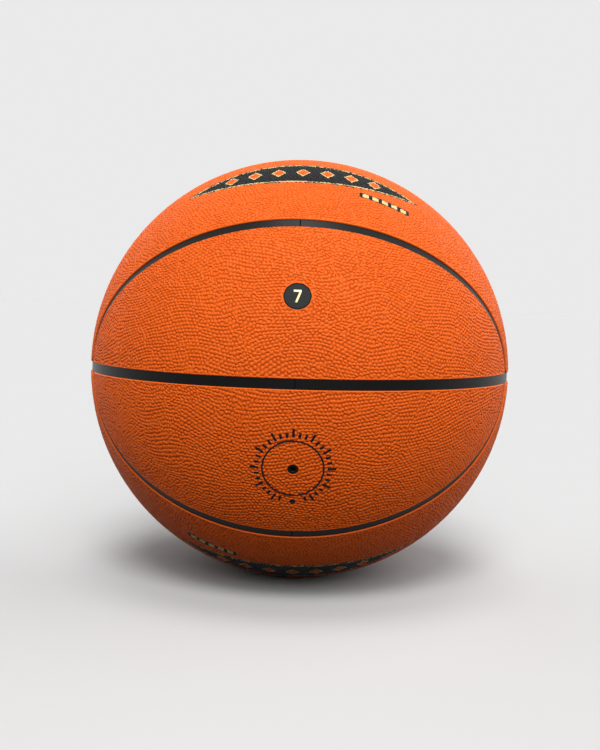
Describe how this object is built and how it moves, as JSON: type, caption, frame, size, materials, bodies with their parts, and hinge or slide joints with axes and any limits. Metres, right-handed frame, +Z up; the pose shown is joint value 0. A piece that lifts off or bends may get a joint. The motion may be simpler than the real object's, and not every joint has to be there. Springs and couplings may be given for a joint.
{
  "type": "basketball",
  "caption": "Inflated ball with a pebbled composite cover in panels, recessed rubber channels between them, foam pads, a wound carcass, a bladder and a needle valve.",
  "frame": {"origin": "centre of the ball", "axes": "+Z up, with the level channel in the plane Z = 0; the pole that each looped channel goes round is on the Y axis; the valve and the size badge are on the -Y side, in the plane X = 0"},
  "size_m": [0.2398, 0.2398, 0.24],
  "materials": {
    "cover": "pebbled microfibre composite, satin",
    "foam": "closed-cell foam",
    "carcass_rubber": "moulded, fine grain",
    "nylon_thread": "wound nylon thread in latex",
    "butyl": "smooth",
    "valve_rubber": "moulded, smooth",
    "badge_film": "satin transfer film"
  },
  "bodies": {
    "root": {"cover_front_upper": "cover", "cover_front_lower": "cover", "cover_back_upper": "cover", "cover_back_lower": "cover", "cover_middle_front_upper": "cover", "cover_middle_front_lower": "cover", "cover_middle_back_upper": "cover", "cover_middle_back_lower": "cover", "pad_front_upper": "foam", "pad_front_lower": "foam", "pad_back_upper": "foam", "pad_back_lower": "foam", "pad_middle_front_upper": "foam", "pad_middle_front_lower": "foam", "pad_middle_back_upper": "foam", "pad_middle_back_lower": "foam", "carcass": "carcass_rubber", "winding": "nylon_thread", "bladder": "butyl", "valve_stem": "valve_rubber", "valve_plug": "valve_rubber", "size_badge": "badge_film"}
  },
  "joints": []
}
